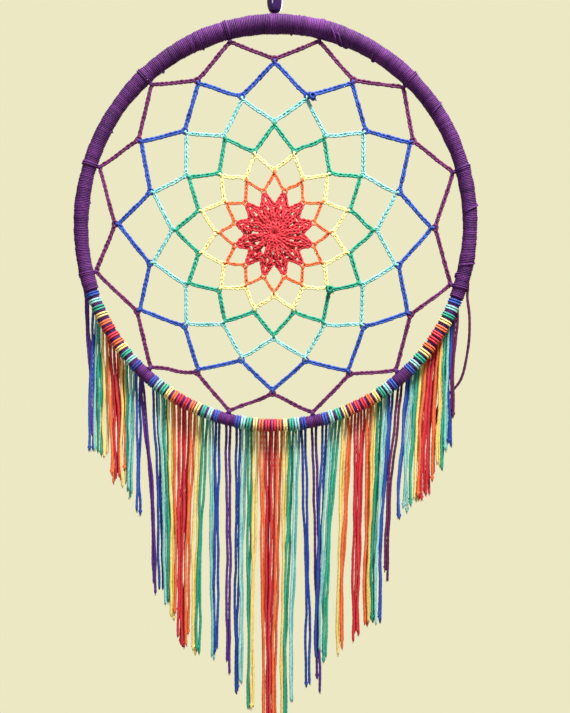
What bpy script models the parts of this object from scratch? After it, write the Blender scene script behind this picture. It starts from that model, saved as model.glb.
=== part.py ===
"""A crocheted rainbow dream catcher, hanging from its loop.

A steel ring is wrapped in purple yarn. Seven crocheted rounds fill it, from a red
rosette out to a purple zigzag that is tied to the ring at twelve places. Tassel yarns
are knotted side by side along the lower part of the ring, in five rainbow sections.
The ring hangs from a yarn hitch, an oval bead and a knotted loop.

The web lies in the XZ plane and faces -Y. The origin is where the loop rests on its nail.
"""

import math

import bmesh
import bpy
from mathutils import Vector

# Driving dimensions, in metres and degrees.
GAP = 0.0003
RING_HALF_WIDTH = 0.1230
RING_HALF_HEIGHT = 0.1265
CORE_RADIUS = 0.0022
WRAP_BORE_RADIUS = 0.0026
LOWER_WRAP_RADIUS = 0.0031
SIDE_WRAP_RADIUS = 0.0047
TOP_WRAP_RADIUS = 0.0064
WAIST_RADIUS = 0.0052
RING_STEP = 5.0
WAIST_STATIONS = (86, 88, 92, 94)
WAIST_HALF_ANGLE = 3.0

LOOP_CORD_RADIUS = 0.0009
LOOP_HEIGHT = 0.0600
LOOP_HALF_WIDTH = 0.0090
KNOT_HEIGHT = 0.0070
KNOT_RADIUS = 0.0034
BEAD_TRAVEL = 0.0020
BEAD_HEIGHT = 0.0138
BEAD_RADIUS = 0.0048
BEAD_BORE_RADIUS = 0.0017
BEAD_END_RADIUS = 0.0024
HITCH_HALF_WIDTH = 0.0024
HITCH_THICKNESS = 0.0010
HITCH_NECK_RADIUS = 0.0013

TIE_ANGLES = (76, 46, 16, -18, -49, -78, -104, -132, -166, -198, -228, -256)
TIE_HALF_ANGLE = 2.1
UPPER_TIE_HALF_ANGLE = 1.2
TIE_CLEARANCE = 0.00035
TIE_THICKNESS = 0.0008
TIE_NECK_LENGTH = 0.0005
TIE_NECK_RADIUS = 0.0014
NECK_EMBED = 0.3
SMALL_ANGLE = 0.10
CUTTER_OVERSHOOT = 0.6

WEB_SECTORS = 12
PURPLE_CHAIN_RADIUS = 0.0012
WEB_HALF_WIDTHS = (0.1168, 0.1001, 0.0806, 0.0637, 0.0486, 0.0358, 0.0248)
WEB_HALF_HEIGHTS = (0.1190, 0.1044, 0.0851, 0.0675, 0.0512, 0.0386, 0.0268)
WEB_SAG = 0.0070
WEB_VERTEX_HALF = 0.0012
ROSETTE_THICKNESS = 0.0024
ROSETTE_VALLEY_RADIUS = 0.0190
ROSETTE_EYE_RADIUS = 0.0012
ROSETTE_EYE_CIRCLE = 0.0125
ROSETTE_TIP_BLUNTING = 0.12
ROSETTE_FLANK = 0.6
TIE_OFF_RADIUS = 0.0016
BLUE_TIE_OFF_ASIDE = 0.0035
GREEN_TIE_OFF_ASIDE = 0.0010

# The rounds of the web, from the outside in: name, radius of the chain and colour.
WEB_ROUNDS = (
    ("purple_round", PURPLE_CHAIN_RADIUS, "plum"),
    ("blue_round", 0.0012, "blue"),
    ("aqua_round", 0.0011, "aqua"),
    ("green_round", 0.0011, "green"),
    ("yellow_round", 0.0011, "yellow"),
    ("orange_round", 0.0009, "orange"),
)

TASSELS_PER_SECTION = 12
TASSELS_PER_COMB = 3
TASSEL_KNOT_THICKNESS = 0.0008
STRAND_THICKNESS = 0.0012
STRAND_PLANE = 0.0059
STRAND_HALF_WIDTH = 0.0014
STRAND_FILL = 0.38
YOKE_HEIGHT = 0.0060
UNEVEN_CUT = 0.003
UNEVEN_RHYTHM = 5.1
SWAY_AXIS_INSET = 0.146
LEFT_FRINGE_ANGLE = -161.0
RIGHT_FRINGE_ANGLE = -21.4
LOOSE_STRAND_RADIUS = 0.0007

# Each section of the fringe: its name, the angles where its knots start and end, and
# the length of its first strand, its last strand and the extra length at its middle.
FRINGE = (
    ("far_left", LEFT_FRINGE_ANGLE, -134.3, 0.099, 0.094, 0.008),
    ("left", -129.7, -106.3, 0.130, 0.160, 0.004),
    ("centre", -101.7, -80.3, 0.168, 0.167, 0.028),
    ("right", -75.7, -51.3, 0.156, 0.134, 0.003),
    ("far_right", -46.7, RIGHT_FRINGE_ANGLE, 0.096, 0.099, 0.008),
)
COMB_NAMES = ("cool_outer", "warm_left", "warm_right", "cool_inner")

# Each pair of purple strands under a tie: the section that it swings with, the angle
# and sideways shift of its middle, its length and whether it is one strand wide.
PURPLE_STRANDS = (
    ("far_left", -161.9, -0.0046, 0.092, True),
    ("left", -132.0, 0.0, 0.118, False),
    ("centre", -104.0, 0.0, 0.162, False),
    ("centre", -78.0, 0.0, 0.160, False),
    ("right", -49.0, 0.0, 0.118, False),
    ("far_right", -20.7, 0.0013, 0.074, True),
)
PURPLE_SPREAD = 0.85
PURPLE_SPACING = 0.0021
PURPLE_SECOND_LONGER = 1.03

# The route of the one purple strand that bows out beside the fringe and tucks in behind it:
# (x, y, height above the ring's centre).
LOOSE_ROUTE = (
    (0.1218, 0.0010, -0.0455),
    (0.1232, 0.0014, -0.0560),
    (0.1235, 0.0020, -0.0663),
    (0.1232, 0.0028, -0.0741),
    (0.1220, 0.0038, -0.0838),
    (0.1205, 0.0052, -0.0925),
    (0.1185, 0.0066, -0.0985),
    (0.1150, 0.0079, -0.1035),
    (0.1105, 0.0084, -0.1078),
    (0.1063, 0.0084, -0.1125),
    (0.1042, 0.0083, -0.1185),
    (0.1036, 0.0082, -0.1258),
)

COLOURS = {
    "steel": (0.45, 0.45, 0.47),
    "purple": (0.17, 0.035, 0.20),
    "plum": (0.11, 0.012, 0.065),
    "blue": (0.025, 0.07, 0.50),
    "aqua": (0.22, 0.68, 0.60),
    "green": (0.01, 0.30, 0.17),
    "yellow": (0.87, 0.74, 0.24),
    "orange": (0.88, 0.16, 0.05),
    "red": (0.68, 0.018, 0.045),
    "bead": (0.05, 0.008, 0.13),
}


def wrap_radius(angle):
    """The wrapped ring's outer radius: thickest at the top, with a waist under the hitch."""
    height = max(0.0, math.sin(math.radians(angle)))
    radius = SIDE_WRAP_RADIUS + (TOP_WRAP_RADIUS - SIDE_WRAP_RADIUS) * height**4
    return WAIST_RADIUS if abs(angle - 90) < WAIST_HALF_ANGLE else radius


def clear_of(radius):
    """The corner radius of an eight-sided bore whose flats clear a round of this radius."""
    return (radius + GAP) / math.cos(math.pi / 8)


HITCH_BORE_RADIUS = clear_of(WAIST_RADIUS)
HITCH_OUTER_RADIUS = HITCH_BORE_RADIUS + HITCH_THICKNESS
KNOT_TOP = -LOOP_HEIGHT
KNOT_BOTTOM = KNOT_TOP - KNOT_HEIGHT
BEAD_TOP = KNOT_BOTTOM - GAP - BEAD_TRAVEL
BEAD_BOTTOM = BEAD_TOP - BEAD_HEIGHT
RING_TOP = BEAD_BOTTOM - GAP - HITCH_OUTER_RADIUS
RING_CENTRE = RING_TOP - RING_HALF_HEIGHT


def ring_point(angle, outward=0.0, y=0.0):
    """A point of the ring's centreline, or one that lies outward of it."""
    a = math.radians(angle)
    along = Vector((RING_HALF_WIDTH * math.cos(a), 0, RING_HALF_HEIGHT * math.sin(a)))
    normal = Vector((RING_HALF_HEIGHT * math.cos(a), 0, RING_HALF_WIDTH * math.sin(a)))
    point = along + normal.normalized() * outward
    return point + Vector((0, y, RING_CENTRE))


def stations(start, end):
    """Angles from start to end, with the ring's own regular steps between them."""
    first = math.floor(start / RING_STEP) + 1
    last = math.ceil(end / RING_STEP) - 1
    inner = [n * RING_STEP for n in range(first, last + 1)]
    inner = [a for a in inner if start + 0.5 < a < end - 0.5]
    return [start, *inner, end]


# Scene helpers.
for old in list(bpy.data.objects):
    bpy.data.objects.remove(old, do_unlink=True)

parts = bpy.data.collections.new("DreamCatcher")
cutters = bpy.data.collections.new("Cutters")
bpy.context.scene.collection.children.link(parts)
bpy.context.scene.collection.children.link(cutters)


def make_material(name, colour, roughness, metallic=0.0):
    material = bpy.data.materials.new(name)
    material.use_nodes = True
    shader = material.node_tree.nodes["Principled BSDF"]
    shader.inputs["Base Color"].default_value = (*colour, 1)
    shader.inputs["Roughness"].default_value = roughness
    shader.inputs["Metallic"].default_value = metallic
    return material


def yarn(colour):
    return make_material(f"yarn_{colour}", COLOURS[colour], 0.85)


MATERIALS = {name: yarn(name) for name in COLOURS if name not in ("steel", "bead")}
MATERIALS["steel"] = make_material("ring_steel", COLOURS["steel"], 0.35, 1.0)
MATERIALS["bead"] = make_material("bead_plastic", COLOURS["bead"], 0.12)


def finish(obj, material):
    obj.data.materials.clear()
    obj.data.materials.append(MATERIALS[material])
    return obj


def tube(name, points, radii, cyclic=False, resolution=2):
    """A round tube along the points, whose radius may change from point to point."""
    curve = bpy.data.curves.new(name, "CURVE")
    curve.dimensions = "3D"
    curve.bevel_depth = 1.0
    curve.bevel_resolution = resolution
    curve.use_fill_caps = not cyclic
    spline = curve.splines.new("POLY")
    spline.points.add(len(points) - 1)
    for point, place, radius in zip(spline.points, points, radii):
        point.co = (*place, 1)
        point.radius = radius
    spline.use_cyclic_u = cyclic
    obj = bpy.data.objects.new(name, curve)
    parts.objects.link(obj)
    return obj


def to_mesh(obj):
    """The curve object made a closed mesh, with its caps welded on."""
    bpy.context.view_layer.update()
    graph = bpy.context.evaluated_depsgraph_get()
    mesh = bpy.data.meshes.new_from_object(obj.evaluated_get(graph))
    name, place = obj.name, obj.matrix_world.copy()
    bpy.data.objects.remove(obj, do_unlink=True)
    build = bmesh.new()
    build.from_mesh(mesh)
    bmesh.ops.remove_doubles(build, verts=build.verts, dist=0.000001)
    build.to_mesh(mesh)
    build.free()
    solid = bpy.data.objects.new(name, mesh)
    solid.matrix_world = place
    parts.objects.link(solid)
    solid.name = name
    return solid


def make_cutter(obj):
    parts.objects.unlink(obj)
    cutters.objects.link(obj)
    obj.hide_render = True
    obj.display_type = "WIRE"
    return obj


def boolean(obj, other, operation):
    modifier = obj.modifiers.new(operation.title(), "BOOLEAN")
    modifier.operation = operation
    modifier.solver = "EXACT"
    modifier.object = make_cutter(other)


def ring_tube(name, angles, radius_at, outward=0.0):
    places = [ring_point(a, outward) for a in angles]
    return to_mesh(tube(name, places, [radius_at(a) for a in angles]))


def ring_sleeve(name, angles, radius_at, bore_radius):
    """A tube that follows the ring, bored along its length to fit over what it covers."""
    bore = [angles[0] - CUTTER_OVERSHOOT, *angles[1:-1], angles[-1] + CUTTER_OVERSHOOT]
    sleeve = ring_tube(name, angles, radius_at)
    cutter = ring_tube(f"{name}_bore", bore, lambda a: bore_radius)
    boolean(sleeve, cutter, "DIFFERENCE")
    return sleeve


def cylinder(name, start, end, radius):
    return to_mesh(tube(name, [start, end], [radius, radius]))


def outline_plate(name, outlines, thickness, y=0.0):
    """A flat plate in the XZ plane, from closed outlines of (x, z). Later ones are holes."""
    curve = bpy.data.curves.new(name, "CURVE")
    curve.dimensions = "2D"
    curve.fill_mode = "BOTH"
    curve.extrude = thickness / 2
    for outline in outlines:
        spline = curve.splines.new("POLY")
        spline.points.add(len(outline) - 1)
        for point, (x, z) in zip(spline.points, outline):
            point.co = (x, z, 0, 1)
        spline.use_cyclic_u = True
    obj = bpy.data.objects.new(name, curve)
    obj.rotation_euler = (math.pi / 2, 0, 0)
    obj.location = (0, y, 0)
    parts.objects.link(obj)
    return obj


def turned(name, profile, z):
    """A closed profile of (radius, height) points, turned about a vertical axis."""
    mesh = bpy.data.meshes.new(name)
    points = [(r, 0, h) for r, h in profile]
    count = len(points)
    mesh.from_pydata(points, [(i, (i + 1) % count) for i in range(count)], [])
    obj = bpy.data.objects.new(name, mesh)
    obj.location = (0, 0, z)
    parts.objects.link(obj)
    screw = obj.modifiers.new("Turn", "SCREW")
    screw.steps = screw.render_steps = 20
    screw.use_merge_vertices = True
    screw.merge_threshold = 0.00001
    screw.use_smooth_shade = True
    return obj


# The hanger: a knotted loop, a bead that can lift on the cord, and a hitch round the ring.
def make_hanging_loop():
    top = LOOP_CORD_RADIUS + GAP
    foot = KNOT_TOP + GAP
    shoulder = top - LOOP_HALF_WIDTH
    points = []
    for step in range(9):
        a = math.radians(180 * step / 8)
        points.append((LOOP_HALF_WIDTH * math.cos(a), shoulder + LOOP_HALF_WIDTH * math.sin(a)))
    sides = 7
    for step in range(1, sides + 1):
        t = step / sides
        half = LOOP_CORD_RADIUS + 0.0002
        x = half + (LOOP_HALF_WIDTH - half) * (1 + math.cos(math.pi * t)) / 2
        z = shoulder + (foot - shoulder) * t
        points.append((-x, z))
        points.insert(0, (x, z))
    places = [Vector((x, 0, z)) for x, z in points]
    loop = tube("hanging_loop", places, [LOOP_CORD_RADIUS] * len(places))
    return finish(loop, "purple")


def make_loop_knot():
    half = KNOT_HEIGHT / 2
    profile = [(0.0, half)]
    for step in range(7):
        a = math.radians(75 - 25 * step)
        profile.append((KNOT_RADIUS * math.cos(a), half * math.sin(a)))
    profile.append((0.0, -half))
    mesh = bpy.data.meshes.new("loop_knot")
    edges = [(i, i + 1) for i in range(len(profile) - 1)]
    mesh.from_pydata([(r, 0, h) for r, h in profile], edges, [])
    knot = bpy.data.objects.new("loop_knot", mesh)
    knot.location = (0, 0, (KNOT_TOP + KNOT_BOTTOM) / 2)
    parts.objects.link(knot)
    screw = knot.modifiers.new("Turn", "SCREW")
    screw.steps = screw.render_steps = 16
    screw.use_merge_vertices = True
    screw.merge_threshold = 0.00001
    return finish(knot, "purple")


def make_bead():
    half = BEAD_HEIGHT / 2
    bulge = BEAD_RADIUS - BEAD_END_RADIUS
    profile = [(BEAD_BORE_RADIUS, half), (BEAD_END_RADIUS, half)]
    for step in range(1, 10):
        a = math.radians(90 - 18 * step)
        profile.append((BEAD_END_RADIUS + bulge * math.cos(a), half * math.sin(a)))
    profile += [(BEAD_END_RADIUS, -half), (BEAD_BORE_RADIUS, -half)]
    return finish(turned("bead", profile, (BEAD_TOP + BEAD_BOTTOM) / 2), "bead")


def make_ring_hitch():
    half = Vector((HITCH_HALF_WIDTH, 0, 0))
    over = Vector((0.001, 0, 0))
    centre = Vector((0, 0, RING_TOP))
    hitch = cylinder("ring_hitch", centre - half, centre + half, HITCH_OUTER_RADIUS)
    neck_foot = centre + Vector((0, 0, HITCH_BORE_RADIUS + HITCH_THICKNESS * NECK_EMBED))
    neck_top = Vector((0, 0, KNOT_BOTTOM - GAP))
    boolean(hitch, cylinder("hitch_neck", neck_foot, neck_top, HITCH_NECK_RADIUS), "UNION")
    bore = cylinder("hitch_bore", centre - half - over, centre + half + over, HITCH_BORE_RADIUS)
    boolean(hitch, bore, "DIFFERENCE")
    return finish(hitch, "purple")


# The ring.
def make_ring_core():
    count = round(360 / RING_STEP)
    places = [ring_point(n * RING_STEP) for n in range(count)]
    return finish(tube("ring_core", places, [CORE_RADIUS] * count, cyclic=True, resolution=1), "steel")


def make_upper_wrap():
    start = RIGHT_FRINGE_ANGLE + SMALL_ANGLE
    end = LEFT_FRINGE_ANGLE + 360 - SMALL_ANGLE
    regular = stations(start, end)
    outer = sorted([a for a in regular if a != 90] + list(WAIST_STATIONS))
    wrap = ring_tube("upper_wrap", outer, wrap_radius)
    bore = [start - CUTTER_OVERSHOOT, *regular[1:-1], end + CUTTER_OVERSHOOT]
    boolean(wrap, ring_tube("upper_wrap_bore", bore, lambda a: WRAP_BORE_RADIUS), "DIFFERENCE")
    return finish(wrap, "purple")


def make_lower_wrap():
    angles = stations(LEFT_FRINGE_ANGLE + SMALL_ANGLE, RIGHT_FRINGE_ANGLE - SMALL_ANGLE)
    wrap = ring_sleeve("lower_wrap", angles, lambda a: LOWER_WRAP_RADIUS, WRAP_BORE_RADIUS)
    return finish(wrap, "purple")


# The web.
def web_centre(ring):
    """The height of a ring of joints' centre. The web's middle hangs a little low."""
    return RING_CENTRE - WEB_SAG * (1 - WEB_HALF_HEIGHTS[ring] / WEB_HALF_HEIGHTS[0])


def tie_cover(angle):
    """The wrapped ring's radius under a tie, and half the angle that the tie covers."""
    if LEFT_FRINGE_ANGLE < angle < RIGHT_FRINGE_ANGLE:
        return LOWER_WRAP_RADIUS, TIE_HALF_ANGLE
    half = UPPER_TIE_HALF_ANGLE
    return max(wrap_radius(angle - half), wrap_radius(angle + half)), half


def tied_corner(index):
    """A corner of the purple round, at the end of its tie's neck."""
    angle = TIE_ANGLES[index % WEB_SECTORS]
    angle = angle if angle > -180 else angle + 360
    tie_radius = tie_cover(angle)[0] + TIE_CLEARANCE + TIE_THICKNESS
    return ring_point(angle, -(tie_radius + TIE_NECK_LENGTH + GAP + PURPLE_CHAIN_RADIUS))


def web_joint(ring, index, outward=0.0):
    """A joint of the web. Even rings lie at the ties' angles, odd rings between them."""
    if ring == 0:
        return tied_corner(index)
    nominal = 75 - 30 * index
    bend = TIE_ANGLES[index % WEB_SECTORS] - (75 - 30 * (index % WEB_SECTORS))
    if ring % 2:
        following = (index + 1) % WEB_SECTORS
        bend = (bend + TIE_ANGLES[following] - (75 - 30 * following)) / 2
        nominal -= 15
    angle = math.radians(nominal + bend * 0.5**ring)
    x = (WEB_HALF_WIDTHS[ring] + outward) * math.cos(angle)
    z = (WEB_HALF_HEIGHTS[ring] + outward) * math.sin(angle)
    return Vector((x, 0, web_centre(ring) + z))


def make_web_round(name, ring, radius, material):
    """A crocheted zigzag between two rings of joints, held just clear of its neighbours."""
    reach = radius + GAP / 2
    outer_shift = -reach if ring else 0.0
    corners = []
    for index in range(WEB_SECTORS):
        corners.append(web_joint(ring, index, outer_shift))
        corners.append(web_joint(ring + 1, index + ring % 2, reach))
    points = []
    for n, corner in enumerate(corners):
        before = (corners[n - 1] - corner).normalized()
        after = (corners[(n + 1) % len(corners)] - corner).normalized()
        points.append(corner + before * WEB_VERTEX_HALF)
        points.append(corner + after * WEB_VERTEX_HALF)
    return finish(tube(name, points, [radius] * len(points), cyclic=True, resolution=1), material)


def make_rosette():
    last = len(WEB_HALF_WIDTHS) - 1
    centre = Vector((0, 0, web_centre(last)))
    outline = []
    for index in range(WEB_SECTORS):
        tip = web_joint(last, index, -GAP / 2)
        following = web_joint(last, index + 1, -GAP / 2)
        middle = ((tip + following) / 2 - centre).normalized() * ROSETTE_VALLEY_RADIUS + centre
        down = [tip.lerp(middle, t) for t in (ROSETTE_TIP_BLUNTING, ROSETTE_FLANK)]
        up = [following.lerp(middle, t) for t in (ROSETTE_FLANK, ROSETTE_TIP_BLUNTING)]
        outline += [(point.x, point.z) for point in (*down, middle, *up)]
    eyes = []
    for index in range(WEB_SECTORS):
        a = math.radians(30 * index)
        x = ROSETTE_EYE_CIRCLE * math.cos(a)
        z = centre.z + ROSETTE_EYE_CIRCLE * math.sin(a)
        eyes.append(hexagon(x, z, ROSETTE_EYE_RADIUS))
    return finish(outline_plate("red_rosette", [outline, *eyes], ROSETTE_THICKNESS), "red")


def hexagon(x, z, radius):
    corners = [math.radians(60 * n) for n in range(6)]
    return [(x + radius * math.cos(c), z + radius * math.sin(c)) for c in corners]


def make_web_tie(number, angle, joint):
    """The turns of yarn that tie the web to the ring, with a short neck to the web's corner."""
    covered, half = tie_cover(angle)
    bore = covered + TIE_CLEARANCE
    outer = bore + TIE_THICKNESS
    name = f"web_tie_{number:02d}"
    tie = ring_tube(name, [angle - half, angle + half], lambda a: outer)
    boolean(tie, neck_between(name, angle, joint, bore), "UNION")
    reach = half + CUTTER_OVERSHOOT
    cutter = ring_tube(f"{name}_bore", [angle - reach, angle + reach], lambda a: bore)
    boolean(tie, cutter, "DIFFERENCE")
    return finish(tie, "purple")


def neck_between(name, angle, joint, bore):
    ring = ring_point(angle)
    inward = (joint - ring).normalized()
    start = ring + inward * (bore + TIE_THICKNESS * NECK_EMBED)
    end = joint - inward * (PURPLE_CHAIN_RADIUS + GAP)
    return cylinder(f"{name}_neck", start, end, TIE_NECK_RADIUS)


def make_tie_off(name, ring, index, aside, radius, material):
    """A bulky knot that ends a round's yarn, lying on the web beside a joint."""
    joint = web_joint(ring, index)
    place = joint + Vector((aside, -(radius + TIE_OFF_RADIUS + GAP), 0))
    mesh = bpy.data.meshes.new(name)
    build = bmesh.new()
    bmesh.ops.create_uvsphere(build, u_segments=8, v_segments=6, radius=TIE_OFF_RADIUS)
    build.to_mesh(mesh)
    build.free()
    knot = bpy.data.objects.new(name, mesh)
    knot.location = place
    parts.objects.link(knot)
    return finish(knot, material)


# The fringe.
def slot_angle(section, slot):
    _, start, end = section[:3]
    return start + (end - start) * (slot + 0.5) / TASSELS_PER_SECTION


def strand_length(section, slot):
    """The section's cut line, with the small unevenness of hand-cut ends."""
    first, last, middle = section[3:]
    t = (slot + 0.5) / TASSELS_PER_SECTION
    cut_line = first + (last - first) * t + middle * math.sin(math.pi * t) ** 2
    return cut_line + UNEVEN_CUT * math.sin(UNEVEN_RHYTHM * slot)


def make_tassel_knots(section):
    name, start, end = section[:3]
    angles = [start + SMALL_ANGLE, end - SMALL_ANGLE]
    steps = 6
    angles = [angles[0] + (angles[1] - angles[0]) * n / steps for n in range(steps + 1)]
    bore = clear_of(LOWER_WRAP_RADIUS)
    outer = bore + TASSEL_KNOT_THICKNESS
    return finish(ring_sleeve(f"tassel_knots_{name}", angles, lambda a: outer, bore), "plum")


def comb_outline(fingers):
    """The outline of strands side by side on a short yoke: (x, top, half width, tip) each."""
    outline = []
    for x, top, half, _ in fingers:
        outline += [(x - half, top), (x + half, top)]
    for n in reversed(range(len(fingers))):
        x, top, half, tip = fingers[n]
        if n < len(fingers) - 1:
            outline.append((x + half, top - YOKE_HEIGHT))
        outline += [(x + half, tip), (x - half, tip)]
        if n > 0:
            outline.append((x - half, top - YOKE_HEIGHT))
    return outline


def strand_finger(angle, spacing, length, shift=0.0):
    place = ring_point(angle)
    half = min(STRAND_HALF_WIDTH, STRAND_FILL * spacing)
    return (place.x + shift, place.z, half, place.z - length)


def make_strand_comb(section, comb):
    slots = range(comb * TASSELS_PER_COMB, (comb + 1) * TASSELS_PER_COMB)
    step = (section[2] - section[1]) / TASSELS_PER_SECTION
    fingers = []
    for slot in slots:
        angle = slot_angle(section, slot)
        spacing = abs(ring_point(angle + step / 2).x - ring_point(angle - step / 2).x)
        fingers.append(strand_finger(angle, spacing, strand_length(section, slot)))
    name = f"strands_{section[0]}_{COMB_NAMES[comb]}"
    plate = outline_plate(name, [comb_outline(fingers)], STRAND_THICKNESS, STRAND_PLANE)
    return finish(plate, ("blue", "orange", "red", "green")[comb])


def make_purple_strands(number, angle, shift, length, single):
    if single:
        fingers = [strand_finger(angle, PURPLE_SPACING, length, shift)]
    else:
        longer = length * PURPLE_SECOND_LONGER
        fingers = [strand_finger(angle - PURPLE_SPREAD, PURPLE_SPACING, length)]
        fingers.append(strand_finger(angle + PURPLE_SPREAD, PURPLE_SPACING, longer))
    name = f"strands_purple_{number}"
    plate = outline_plate(name, [comb_outline(fingers)], STRAND_THICKNESS, STRAND_PLANE)
    return finish(plate, "purple")


def smooth_route(route, spacing):
    """Evenly spaced points on a smooth curve through the route's points."""
    knots = [Vector(p) for p in route]
    knots = [knots[0] * 2 - knots[1], *knots, knots[-1] * 2 - knots[-2]]
    fine = []
    for n in range(1, len(knots) - 2):
        a, b, c, d = knots[n - 1 : n + 3]
        for step in range(12):
            t = step / 12
            square = (a * 2 - b * 5 + c * 4 - d) * t**2
            cube = (b * 3 - a - c * 3 + d) * t**3
            fine.append((b * 2 + (c - a) * t + square + cube) / 2)
    fine.append(knots[-2])
    points, travelled = [fine[0]], 0.0
    for before, after in zip(fine, fine[1:]):
        travelled += (after - before).length
        if travelled >= spacing:
            points.append(after)
            travelled = 0.0
    points[-1] = fine[-1]
    return points


def make_loose_strand():
    route = [(x, y, RING_CENTRE + z) for x, y, z in LOOSE_ROUTE]
    places = smooth_route(route, 4 * LOOSE_STRAND_RADIUS)
    strand = tube("strand_purple_loose", places, [LOOSE_STRAND_RADIUS] * len(places))
    return finish(strand, "plum")


# Joints: each moving group hangs from an empty on its joint's axis.
def make_axis(name, place, parent=None):
    axis = bpy.data.objects.new(name, None)
    axis.empty_display_size = 0.01
    parts.objects.link(axis)
    axis.location = place
    if parent:
        hang([axis], parent)
    bpy.context.view_layer.update()
    return axis


def hang(pieces, axis):
    bpy.context.view_layer.update()
    for piece in pieces:
        piece.parent = axis
        piece.matrix_parent_inverse = axis.matrix_world.inverted()


def section_axis_ends(section):
    """Two points of the section's sway axis, which runs behind the ring along its curve."""
    _, start, end = section[:3]
    inset = (end - start) * SWAY_AXIS_INSET
    return [ring_point(a, 0.0, STRAND_PLANE) for a in (start + inset, end - inset)]


make_hanging_loop()
make_loop_knot()
turn = make_axis("axis_cord_turn", (0, 0, KNOT_BOTTOM))
hang([make_ring_hitch()], turn)
lift = make_axis("axis_bead_lift", (0, 0, BEAD_BOTTOM), turn)
hang([make_bead()], lift)
swing = make_axis("axis_ring_swing", (0, 0, RING_TOP), turn)

ring_pieces = [make_ring_core(), make_upper_wrap(), make_lower_wrap(), make_rosette()]
for ring, (name, radius, material) in enumerate(WEB_ROUNDS):
    ring_pieces.append(make_web_round(name, ring, radius, material))
for number, angle in enumerate(TIE_ANGLES):
    wrapped = angle if angle > -180 else angle + 360
    ring_pieces.append(make_web_tie(number + 1, wrapped, web_joint(0, number)))
ring_pieces.append(make_tie_off("blue_tie_off", 2, 0, BLUE_TIE_OFF_ASIDE, WEB_ROUNDS[1][1], "blue"))
ring_pieces.append(make_tie_off("green_tie_off", 4, 4, GREEN_TIE_OFF_ASIDE, WEB_ROUNDS[3][1], "green"))
ring_pieces += [make_tassel_knots(section) for section in FRINGE]
hang(ring_pieces, swing)

sways = {}
for section in FRINGE:
    ends = section_axis_ends(section)
    sways[section[0]] = make_axis(f"axis_sway_{section[0]}", (ends[0] + ends[1]) / 2, swing)
    combs = TASSELS_PER_SECTION // TASSELS_PER_COMB
    hang([make_strand_comb(section, comb) for comb in range(combs)], sways[section[0]])
for number, (section, *facts) in enumerate(PURPLE_STRANDS):
    hang([make_purple_strands(number + 1, *facts)], sways[section])
hang([make_loose_strand()], sways["far_right"])
bpy.context.view_layer.update()
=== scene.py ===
"""A crocheted rainbow dream catcher: yarn-wound ring, chain-stitch web, knotted fringe.

Everything is in metres, in the model's own frame: the web lies in the XZ plane and faces
-Y, and the origin is where the hanging loop rests on its nail.
"""

import math

import bpy
import numpy as np
from mathutils import Euler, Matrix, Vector


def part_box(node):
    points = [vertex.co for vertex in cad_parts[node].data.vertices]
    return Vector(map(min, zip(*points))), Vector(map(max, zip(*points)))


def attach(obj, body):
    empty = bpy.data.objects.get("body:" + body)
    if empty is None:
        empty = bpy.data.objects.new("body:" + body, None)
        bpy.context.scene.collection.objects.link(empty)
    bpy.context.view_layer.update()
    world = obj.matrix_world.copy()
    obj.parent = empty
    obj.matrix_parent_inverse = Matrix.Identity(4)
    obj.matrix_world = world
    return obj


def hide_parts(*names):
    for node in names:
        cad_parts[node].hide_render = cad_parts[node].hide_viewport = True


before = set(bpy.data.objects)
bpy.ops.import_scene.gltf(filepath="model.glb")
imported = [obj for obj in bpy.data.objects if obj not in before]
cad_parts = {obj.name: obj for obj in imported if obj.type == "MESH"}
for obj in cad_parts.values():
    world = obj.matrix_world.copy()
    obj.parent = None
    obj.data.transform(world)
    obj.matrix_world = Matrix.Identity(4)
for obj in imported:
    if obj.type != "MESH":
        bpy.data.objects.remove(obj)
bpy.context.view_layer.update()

# The ring, as built.
GAP = 0.0003
RING_HALF_WIDTH = 0.1230
RING_HALF_HEIGHT = 0.1265
LOWER_WRAP_RADIUS = 0.0031
SIDE_WRAP_RADIUS = 0.0047
TOP_WRAP_RADIUS = 0.0061
LEFT_FRINGE_ANGLE = -161.0
RIGHT_FRINGE_ANGLE = -21.4

# The hanging cord and its bead, as built.
LOOP_CORD_RADIUS = 0.0009
LOOP_HEIGHT = 0.0600
LOOP_HALF_WIDTH = 0.0090
KNOT_HEIGHT = 0.0070
BEAD_BORE = 0.0017
BEAD_EDGE = 0.0003
BEAD_FLAT = 0.0021
BEAD_LOW, BEAD_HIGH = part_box("bead")
RING_LOW, RING_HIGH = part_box("ring_core")
RING_CENTRE = (RING_LOW[2] + RING_HIGH[2]) / 2
RING_TOP = RING_CENTRE + RING_HALF_HEIGHT

# The web, as built.
TIE_ANGLES = (76, 46, 16, -18, -49, -78, -104, -132, -166, -198, -228, -256)
TIE_HALF_ANGLE = 2.1
UPPER_TIE_HALF_ANGLE = 1.2
WEB_SECTORS = 12
WEB_HALF_WIDTHS = (0.1168, 0.1001, 0.0806, 0.0637, 0.0486, 0.0358, 0.0248)
WEB_HALF_HEIGHTS = (0.1190, 0.1044, 0.0851, 0.0675, 0.0512, 0.0386, 0.0268)
WEB_SAG = 0.0070
WEB_VERTEX_HALF = 0.0012
ROSETTE_VALLEY_RADIUS = 0.0175
BLUE_TIE_OFF_ASIDE = 0.0035
GREEN_TIE_OFF_ASIDE = 0.0010

# The fringe, as built. Each section has its start and end angle.
TASSELS_PER_SECTION = 12
TASSELS_PER_COMB = 3
STRAND_PLANE = 0.0059
STRAND_START = 0.0047
SETTLED_AFTER = 0.0060
GATHERED_BY = 0.9
FRINGE = (
    ("far_left", LEFT_FRINGE_ANGLE, -134.3),
    ("left", -129.7, -106.3),
    ("centre", -101.7, -80.3),
    ("right", -75.7, -51.3),
    ("far_right", -46.7, RIGHT_FRINGE_ANGLE),
)

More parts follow.
